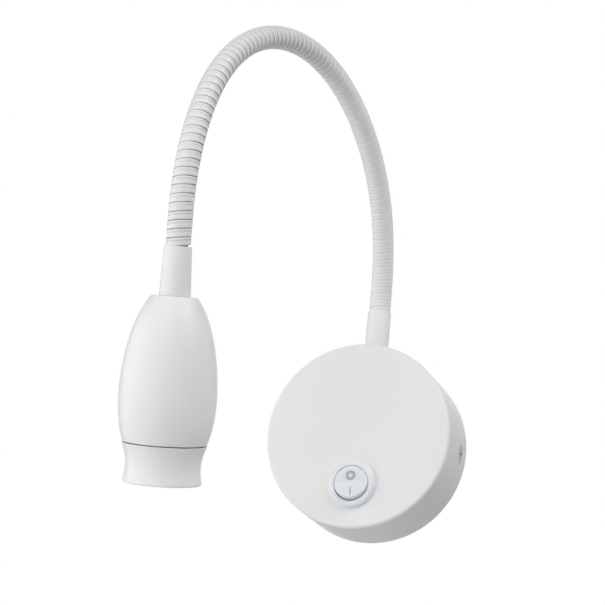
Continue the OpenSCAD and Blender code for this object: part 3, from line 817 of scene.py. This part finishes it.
def build_lead_tree(sides: int = 16) -> Tree:
    """Builds the geometry tree of the lead, a round sheath along part of the route.

    Args:
        sides: sides of the sheath's section.

    Returns:
        The tree with inputs Route, Start, End, Radius and Finish.
    """
    tree = bpy.data.node_groups.new("sheathed_lead", "GeometryNodeTree")
    declare(tree, "INPUT", "Geometry", "Route")
    declare(tree, "INPUT", "Float", "Start", "End", "Radius")
    declare(tree, "INPUT", "Material", "Finish")
    declare(tree, "OUTPUT", "Geometry", "Lead")
    sketch = RouteSketch(tree)
    part = sketch.add("GeometryNodeTrimCurve", {"Curve": sketch.line}, mode="LENGTH")
    for socket in part.inputs:
        if socket.enabled and socket.name in ("Start", "End"):
            sketch.feed(socket, sketch.given[socket.name])
    circle = sketch.add("GeometryNodeCurvePrimitiveCircle", {
        "Resolution": sides, "Radius": sketch.given["Radius"]})
    tube = sketch.add("GeometryNodeCurveToMesh", {
        "Curve": part.outputs["Curve"], "Profile Curve": circle.outputs["Curve"], "Fill Caps": True})
    smooth = sketch.add("GeometryNodeSetShadeSmooth", {"Geometry": tube.outputs["Mesh"]})
    sketch.give_out("Lead", smooth.outputs["Geometry"])
    return tree


@dataclass
class Neck:
    """The wound neck and the lead inside it, each cut near the middles of the stretches."""

    route: NeckRoute
    finishes: FinishBook
    band: WoundBand = field(default_factory=WoundBand)
    steps_per_turn: int = 32
    turns: float = 90.0
    phase: float = -0.13
    sunk_turns: float = 0.8
    lead_radius: float = 1.3

    def build(self) -> None:
        """Builds the winding and the lead, one piece of each for each joint of the neck."""
        line = self.route.mesh()
        band_tree = self.band.tree()
        lead_tree = build_lead_tree()
        joints = len(self.route.bends) - 1
        cuts = [0.0] + [self._cut(k) for k in range(1, joints)] + [self.route.length]
        for k, ends in enumerate(zip(cuts, cuts[1:]), start=1):
            wound = [f"neck_winding_{k}"] + (["neck_winding_0"] if k == 1 else [])
            for name, tree, slot, inputs, replaced in (
                    (f"winding_{k}", band_tree, Slot.WHITE_WINDING, self._winding(k == 1, ends), wound),
                    (f"lead_{k}", lead_tree, Slot.LEAD_RUBBER, self._lead(k == 1, k == joints, ends),
                     ["neck_lead"])):
                finish = self.finishes.of(slot)
                mesh = grown_mesh(name, line, tree, {**inputs, "Finish": finish})
                piece = add_piece(name, mesh, finish, replaced)
                self.route.point_at(ends[0])
                self.route.point_at(ends[1])
                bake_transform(piece)

    def _cut(self, k: int) -> float:
        """Finds where the winding is cut: near a stretch's middle, on the side that faces the wall.

        Args:
            k: number of the stretch.

        Returns:
            The distance along the neck.
        """
        middle = self.route.middle_of(k)
        here = min(self.route.stations, key=lambda station: abs(station.distance - middle))
        across = here.along.cross(here.side)
        to_wall = math.atan2(across.y, here.side.y) / FULL_TURN - self.phase
        turn = middle * self.turns / self.route.length
        return (round(turn - to_wall) + to_wall) * self.route.length / self.turns

    def _winding(self, first: bool, ends: tuple[float, float]) -> dict[str, object]:
        """Gives the band tree's inputs for the winding across one joint.

        Args:
            first: whether it is the first piece, which starts inside the sleeve.
            ends: distances between which the piece bends.

        Returns:
            The values by the inputs' names.
        """
        start, stop = (end * (self.turns / self.route.length) for end in ends)
        start -= self.sunk_turns if first else 0.0
        return {"Steps": round((stop - start) * self.steps_per_turn), "Tail": self.route.base_tail * MM,
                "First Turn": start, "Last Turn": stop, "Phase": self.phase,
                "Neck Length": self.route.length * MM, **self.band.values}

    def _lead(self, first: bool, last: bool, ends: tuple[float, float]) -> dict[str, object]:
        """Gives the lead tree's inputs for the lead across one joint.

        Args:
            first: whether it is the first piece, which starts at the driver.
            last: whether it is the last piece, which ends at the board.
            ends: distances between which the piece bends.

        Returns:
            The values by the inputs' names.
        """
        start, stop = (end + self.route.base_tail for end in ends)
        stop += self.route.head_tail if last else 0.0
        return {"Start": 0.0 if first else start * MM, "End": stop * MM, "Radius": self.lead_radius * MM}


@dataclass
class Sleeves:
    """The two plain sleeves that hold the neck's ends, in millimetres."""

    route: NeckRoute
    finishes: FinishBook
    bore: float = 5.05
    mouth: float = 5.7
    base_root: float = 5.75
    base_bottom: float = 44.2
    head_root: float = 6.6
    head_length: float = 20.5
    edge: float = 0.25
    segments: int = 96

    def build(self) -> None:
        """Turns both sleeves."""
        x, y, top = self.route.foot
        base = [Corner(self.bore, self.base_bottom), Corner(self.base_root, self.base_bottom),
                Corner(self.mouth, top, self.edge), Corner(self.bore, top, self.edge)]
        head = [Corner(self.bore, 0, self.edge), Corner(self.mouth, 0, self.edge),
                Corner(self.head_root, self.head_length, self.edge), Corner(self.bore, self.head_length)]
        for name, corners, place, node, body in (
                ("sleeve_on_canopy", base, Matrix.Translation((x, y, 0)), "base_sleeve", "canopy"),
                ("sleeve_on_head", head, self.route.head_frame, "head_sleeve", "head")):
            mesh = turned_mesh(name, soften(corners), place, self.segments)
            piece = add_piece(name, mesh, self.finishes.of(Slot.WHITE_PAINT), [node])
            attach(piece, body)


@dataclass
class LampHead:
    """The bullet-shaped shell and the waisted front ring, in millimetres from the shell's flat top."""

    route: NeckRoute
    finishes: FinishBook
    sleeve_length: float = 20.5
    bore: float = 5.05
    top: float = 9.5
    top_thickness: float = 2.0
    top_edge: float = 0.7
    belly: float = 20.2
    belly_at: float = 42.0
    length: float = 60.0
    mouth: float = 17.4
    wall: float = 1.5
    top_clear: float = 1.5
    reveal: float = 0.5
    split_edge: float = 0.2
    ring_end: float = 76.5
    ring_waist: float = 15.5
    ring_waist_at: float = 70.0
    ring_curve: float = 0.024
    ring_edge: float = 0.8
    ring_clear: float = 1.2
    rim_bore: float = 12.2
    rim_bore_edge: float = 0.3
    lip: float = 11.2
    lip_edge: float = 0.1
    lip_at: float = 74.2
    lens_bore: float = 12.6
    thread: float = 14.2
    thread_end: float = 66.3
    curve_steps: int = 72
    inner_steps: int = 24
    ring_steps: int = 40

    def shell_radius(self, h: float) -> float:
        """Gives the shell's radius, from half of an ellipse above its belly and a flatter one below.

        Args:
            h: distance from the flat top.

        Returns:
            The outer radius.
        """
        upper = h < self.belly_at
        end, at_end = (self.top, self.belly_at) if upper else (self.mouth, self.length - self.belly_at)
        half = at_end / math.sqrt(1 - (end / self.belly) ** 2)
        return self.belly * math.sqrt(1 - ((h - self.belly_at) / half) ** 2)

    def ring_radius(self, h: float) -> float:
        """Gives the front ring's radius at a distance from the flat top."""
        return self.ring_waist + self.ring_curve * (h - self.ring_waist_at) ** 2

    def build(self) -> None:
        """Turns the shell and the ring."""
        place = self.route.head_frame @ Matrix.Translation((0, 0, self.sleeve_length))
        for name, corners, node in (("bullet_shell", self._shell(), "head_shell"),
                                    ("waisted_ring", self._ring(), "front_ring")):
            mesh = turned_mesh(name, soften(corners), place)
            piece = add_piece(name, mesh, self.finishes.of(Slot.WHITE_PAINT), [node])
            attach(piece, "head")

    def _shell(self) -> list[Corner]:
        """Gives the shell's outline: out from the bore, down the outside and up the inside.

        Returns:
            The corners in order.
        """
        outside = [self.length * i / self.curve_steps for i in range(1, self.curve_steps)]
        depth = self.length - self.top_thickness
        inside = [self.top_thickness + depth * i / self.inner_steps for i in range(self.inner_steps, -1, -1)]
        return ([Corner(self.bore, 0), Corner(self.top, 0, self.top_edge)]
                + [Corner(self.shell_radius(h), h) for h in outside if h > self.top_clear]
                + [Corner(self.mouth, self.length, self.split_edge)]
                + [Corner(self.shell_radius(h) - self.wall, h) for h in inside]
                + [Corner(self.bore, self.top_thickness)])

    def _ring(self) -> list[Corner]:
        """Gives the front ring's outline: down the waist, over the rim and up the stepped bore.

        Returns:
            The corners in order.
        """
        start = self.length + self.reveal
        sides = [start + (self.ring_end - start) * i / self.ring_steps for i in range(1, self.ring_steps)]
        return ([Corner(self.ring_radius(start), start, self.split_edge)]
                + [Corner(self.ring_radius(h), h) for h in sides if h < self.ring_end - self.ring_clear]
                + [Corner(self.ring_radius(self.ring_end), self.ring_end, self.ring_edge),
                   Corner(self.rim_bore, self.ring_end, self.rim_bore_edge),
                   Corner(self.lip, self.lip_at, self.lip_edge), Corner(self.lens_bore, self.lip_at),
                   Corner(self.lens_bore, self.thread_end), Corner(self.thread, self.thread_end),
                   Corner(self.thread, start)])


@dataclass(frozen=True)
class Mark:
    """A mark printed on the rocker, in millimetres.

    Attributes:
        name: name of the piece.
        at: its middle on the rocker.
        inner: half width and half length on the inside of its stroke.
        outer: half width and half length on the outside.
        square: whether it has corners.
    """

    name: str
    at: float
    inner: tuple[float, float]
    outer: tuple[float, float]
    square: bool = False

    def point(self, u: float, v: float) -> tuple[float, float]:
        """Gives a point of the mark.

        Args:
            u: share of the way round.
            v: share of the way across its stroke.

        Returns:
            The point on the rocker.
        """
        x, y = math.cos(FULL_TURN * u), math.sin(FULL_TURN * u)
        out = 1 / max(abs(x), abs(y)) if self.square else 1.0
        wide, high = (near + (far - near) * v for near, far in zip(self.inner, self.outer))
        return wide * out * x, self.at + high * out * y


@dataclass
class RockerSwitch:
    """The round rocker switch in the canopy's face, in millimetres."""

    finishes: FinishBook
    drop: float = 24.0
    turn: float = 6.0
    face: float = 34.0
    bezel: float = 11.5
    bezel_height: float = 2.4
    bezel_dome: float = 2.1
    cavity: float = 8.38
    cavity_edge: float = 0.9
    body: float = 9.75
    body_back: float = 20.0
    floor: float = 22.0
    pivot: float = 33.0
    rocker: float = 8.33
    rocker_edge: float = 1.1
    rocker_centre: float = 3.6
    rocker_under: float = -2.2
    rocker_sides: int = 96
    top_rings: int = 24
    wing: float = 8.0
    crease: float = 0.7
    mark_height: float = 0.05
    mark_root: float = -0.15
    mark_steps: int = 64
    marks: tuple[Mark, ...] = (
        Mark("mark_off", 3.1, inner=(1.05, 1.05), outer=(2.3, 2.3)),
        Mark("mark_on", -4.75, inner=(0.0128, 0.088), outer=(0.32, 2.2), square=True),
    )

    def build(self) -> None:
        """Builds the housing, the rocker and its two marks."""
        plastic = self.finishes.of(Slot.SWITCH_PLASTIC)
        at_switch = (WALL @ Matrix.Translation((0, -self.drop, 0))
                     @ Matrix.Rotation(math.radians(self.turn), 4, "Z"))
        at_rocker = (at_switch @ Matrix.Translation((0, 0, self.pivot))
                     @ Matrix.Rotation(math.radians(-self.wing), 4, "X"))
        pieces = [("switch_bezel", self._housing(at_switch), plastic, ["switch_housing"], "canopy"),
                  ("rocker_cap", self._rocker(at_rocker), plastic, ["switch_rocker"], "rocker")]
        pieces += [(mark.name, self._mark(mark, at_rocker), self.finishes.mark_gray, [], "rocker")
                   for mark in self.marks]
        for name, mesh, material, replaced, body in pieces:
            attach(add_piece(name, mesh, material, replaced), body)

    def _housing(self, place: Matrix) -> Mesh:
        """Turns the bezel and body in one piece.

        Args:
            place: frame of the switch on the wall.

        Returns:
            The mesh.
        """
        lip = self.face + self.bezel_height
        round_off = self.bezel_dome
        middle = Vector((self.bezel - round_off, lip - round_off))
        dome = [middle + Vector((math.sin(a) * round_off, math.cos(a) * round_off)) for a in QUARTER]
        corners = [Corner(self.cavity, self.floor), Corner(self.cavity, lip, self.cavity_edge),
                   *(Corner(point.x, point.y) for point in dome), Corner(self.bezel, self.face),
                   Corner(self.body, self.face), Corner(self.body, self.body_back), Corner(0, self.body_back),
                   Corner(0, self.floor)]
        return turned_mesh("switch_bezel", soften(corners, 8), place)

    def _top(self, y: float) -> float:
        """Gives the height of the rocker's top over its pivot, two wings that meet in a soft crease."""
        rise = math.hypot(y, self.crease) - self.crease
        return self.rocker_centre + math.tan(math.radians(self.wing)) * rise

    def _side(self, angle: float, height: float) -> Vector:
        """Gives a place on the rocker's side, which leans in so that the rocker stays clear of its cavity.

        Args:
            angle: angle round the rocker.
            height: height over the pivot.

        Returns:
            The place across the rocker.
        """
        lean = math.radians(self.wing)
        widest = self.rocker * abs(math.sin(angle))
        reach = max(0.0, widest - abs(height) * math.sin(lean)) / math.cos(lean)
        return Vector((self.rocker * math.cos(angle), math.copysign(min(reach, widest), math.sin(angle))))

    def _rocker(self, place: Matrix) -> Mesh:
        """Builds the rocker's cap from rings: its underside, side, rounded rim and top.

        Args:
            place: frame of the rocker at rest.

        Returns:
            The mesh.
        """
        shape = bmesh.new()
        columns: list[list[bmesh.types.BMVert]] = []
        for i in range(self.rocker_sides):
            angle = FULL_TURN * (i + 0.5) / self.rocker_sides
            rim = self._side(angle, self._top(self._side(angle, self.rocker_centre).y) - self.rocker_edge)
            points = [(self._side(angle, height), height) for height in (self.rocker_under, 0.0)]
            for a in QUARTER:
                at = rim * (1 - self.rocker_edge * (1 - math.cos(a)) / rim.length)
                points.append((at, self._top(at.y) - self.rocker_edge * (1 - math.sin(a))))
            inner = points[-1][0]
            shares = [k / self.top_rings for k in range(self.top_rings - 1, 0, -1)]
            points += [(inner * share, self._top(inner.y * share)) for share in shares]
            columns.append([shape.verts.new(place @ Vector((*at, height))) for at, height in points])
        middle = shape.verts.new(place @ Vector((0, 0, self._top(0.0))))
        for first, second in zip(columns, columns[1:] + columns[:1]):
            for k in range(len(first) - 1):
                shape.faces.new((first[k], second[k], second[k + 1], first[k + 1]))
            shape.faces.new((first[-1], second[-1], middle))
        shape.faces.new([column[0] for column in columns])
        return finished_mesh("rocker_cap", shape)

    def _mark(self, mark: Mark, place: Matrix) -> Mesh:
        """Builds a printed mark that follows the rocker's top.

        Args:
            mark: the mark.
            place: frame of the rocker at rest.

        Returns:
            The mesh.
        """
        shape = bmesh.new()
        sections = [(0.0, self.mark_root), *((v, self.mark_height) for v in (0.0, 0.5, 1.0)),
                    (1.0, self.mark_root)]
        rings = []
        for i in range(self.mark_steps):
            ring = []
            for v, lift in sections:
                x, y = mark.point(i / self.mark_steps, v)
                ring.append(shape.verts.new(place @ Vector((x, y, self._top(y) + lift))))
            rings.append(ring)
        for first, second in zip(rings, rings[1:] + rings[:1]):
            for i in range(len(sections)):
                j = (i + 1) % len(sections)
                shape.faces.new((first[i], second[i], second[j], first[j]))
        return finished_mesh(mark.name, shape)


@dataclass
class CarriedParts:
    """The CAD nodes that stay as they are and only get their finish."""

    finishes: FinishBook

    def dress(self) -> None:
        """Gives every CAD node the material of its slot."""
        for part in frame["record"]["subparts"]:
            node = frame["nodes"][part["node"]]
            material = self.finishes.of(Slot(part["material_slot"]))
            node.data.materials.clear()
            node.data.materials.append(material)
            log.info("node %s: %s", part["node"], material.name)


@dataclass(frozen=True)
class Softbox:
    """A square soft light: where it stands, its power and size, and where it points."""

    name: str
    place: tuple[float, float, float]
    power: float
    size: float = 2.4
    aim: tuple[float, float, float] = (-0.02, -0.09, 0.06)

    def build(self) -> None:
        """Adds the light to the scene."""
        light = bpy.data.lights.new(self.name, "AREA")
        light.shape = "SQUARE"
        light.size = self.size
        light.energy = self.power
        stand = bpy.data.objects.new(self.name, light)
        stand.location = self.place
        stand.visible_camera = False
        stand.rotation_euler = (Vector(self.aim) - Vector(self.place)).to_track_quat("-Z", "Y").to_euler()
        bpy.context.scene.collection.objects.link(stand)
        log.info("light %s", self.name)


@dataclass
class Studio:
    """Camera, soft light and the pale floor."""

    azimuth: float = 17.0
    elevation: float = -13.3
    roll: float = 5.3
    distance: float = 0.808
    target: tuple[float, float, float] = (0.0, -0.034, 0.0)
    target_pixel: tuple[float, float] = (356.7, 434.3)
    focal_pixels: float = 1700.0
    frame_pixels: float = 605.0
    sensor: float = 36.0
    near: float = 0.05
    floor_height: float = -1.4
    floor_radius: float = 8.0
    floor_sides: int = 96
    floor_shade: float = 0.82
    floor_roughness: float = 0.7
    floor_glow: float = 0.6
    ambient_front: float = 0.0
    ambient_back: float = 0.129
    ambient_span: tuple[float, float] = (-0.6, 0.9)
    lights: tuple[Softbox, ...] = (
        Softbox("left_panel", (-3.20, -0.25, 0.38), 30.0),
        Softbox("left_front_panel", (-2.40, -2.17, 0.51), 36.0),
        Softbox("front_panel", (-0.02, -3.27, 0.38), 17.6),
        Softbox("front_top_panel", (-0.02, -2.43, 2.24), 24.0),
        Softbox("right_top_panel", (2.15, -1.02, 2.23), 69.5),
        Softbox("right_back_panel", (2.49, 1.79, 0.69), 16.0),
        Softbox("back_panel", (-0.80, 3.20, 0.90), 22.0),
        Softbox("left_low_panel", (-0.74, -1.39, -0.59), 4.6, size=1.2),
    )

    def build(self) -> None:
        """Sets up the camera, the lights, the surroundings and the floor."""
        self._camera()
        for light in self.lights:
            light.build()
        self._surroundings()
        self._floor()
        bpy.context.scene.view_settings.view_transform = "Standard"

    def _camera(self) -> None:
        """Places the camera so that the target lands on its pixel."""
        az, el, roll = (math.radians(x) for x in (self.azimuth, self.elevation, self.roll))
        back = Vector((math.sin(az) * math.cos(el), -math.cos(az) * math.cos(el), math.sin(el)))
        right = (-back).cross(Vector((0, 0, 1))).normalized()
        up = right.cross(-back)
        turned_right = right * math.cos(roll) + up * math.sin(roll)
        turned_up = up * math.cos(roll) - right * math.sin(roll)
        axes = Matrix((turned_right, turned_up, back)).transposed()
        middle = self.frame_pixels / 2
        ray = Vector(((self.target_pixel[0] - middle) / self.focal_pixels,
                      (middle - self.target_pixel[1]) / self.focal_pixels, -1.0)).normalized()
        axes = axes @ ray.rotation_difference(Vector((0, 0, -1))).to_matrix()
        camera = bpy.data.cameras.new("photo_camera")
        camera.sensor_width = self.sensor
        camera.lens = self.sensor * self.focal_pixels / self.frame_pixels
        camera.clip_start = self.near
        stand = bpy.data.objects.new("photo_camera", camera)
        stand.matrix_world = Matrix.Translation(Vector(self.target) + back * self.distance) @ axes.to_4x4()
        bpy.context.scene.collection.objects.link(stand)
        bpy.context.scene.camera = stand

    def _surroundings(self) -> None:
        """Lights the scene from all round, more from behind, and keeps the backdrop white."""
        world = bpy.data.worlds.new("white_studio")
        world.use_nodes = True
        sketch = NodeSketch(world.node_tree)
        direction = sketch.add("ShaderNodeSeparateXYZ", {
            "Vector": sketch.add("ShaderNodeTexCoord").outputs["Generated"]})
        soft = sketch.between(direction.outputs["Y"], self.ambient_span,
                              (self.ambient_front, self.ambient_back), smooth=True)
        seen = sketch.add("ShaderNodeLightPath").outputs["Is Camera Ray"]
        sketch.fill(sketch.find("BACKGROUND"), {"Strength": sketch.mix(seen, soft, 1.0), "Color": WHITE})
        bpy.context.scene.world = world

    def _floor(self) -> None:
        """Lays a round pale floor well under the lamp, which looks lighter to the camera than it is."""
        shape = bmesh.new()
        bmesh.ops.create_circle(shape, cap_ends=True, segments=self.floor_sides, radius=self.floor_radius,
                                matrix=Matrix.Translation((0, 0, self.floor_height)))
        mesh = bpy.data.meshes.new("pale_floor")
        shape.to_mesh(mesh)
        shape.free()
        material = bpy.data.materials.new("pale_floor")
        material.use_nodes = True
        sketch = NodeSketch(material.node_tree)
        seen = sketch.add("ShaderNodeLightPath").outputs["Is Camera Ray"]
        sketch.fill(sketch.find("BSDF_PRINCIPLED"), {
            "Base Color": (self.floor_shade, self.floor_shade, self.floor_shade, 1.0),
            "Roughness": self.floor_roughness, "Emission Color": WHITE,
            "Emission Strength": sketch.math("MULTIPLY", seen, self.floor_glow)})
        mesh.materials.append(material)
        floor = bpy.data.objects.new("pale_floor", mesh)
        bpy.context.scene.collection.objects.link(floor)


def main() -> None:
    """Builds the studio and dresses the lamp, sub-assembly by sub-assembly."""
    logging.basicConfig(level=logging.INFO, format="%(message)s")
    finishes = FinishBook()
    route = NeckRoute()
    Studio().build()
    CarriedParts(finishes).dress()
    Neck(route, finishes).build()
    Sleeves(route, finishes).build()
    LampHead(route, finishes).build()
    RockerSwitch(finishes).build()


if __name__ == "__main__":
    main()
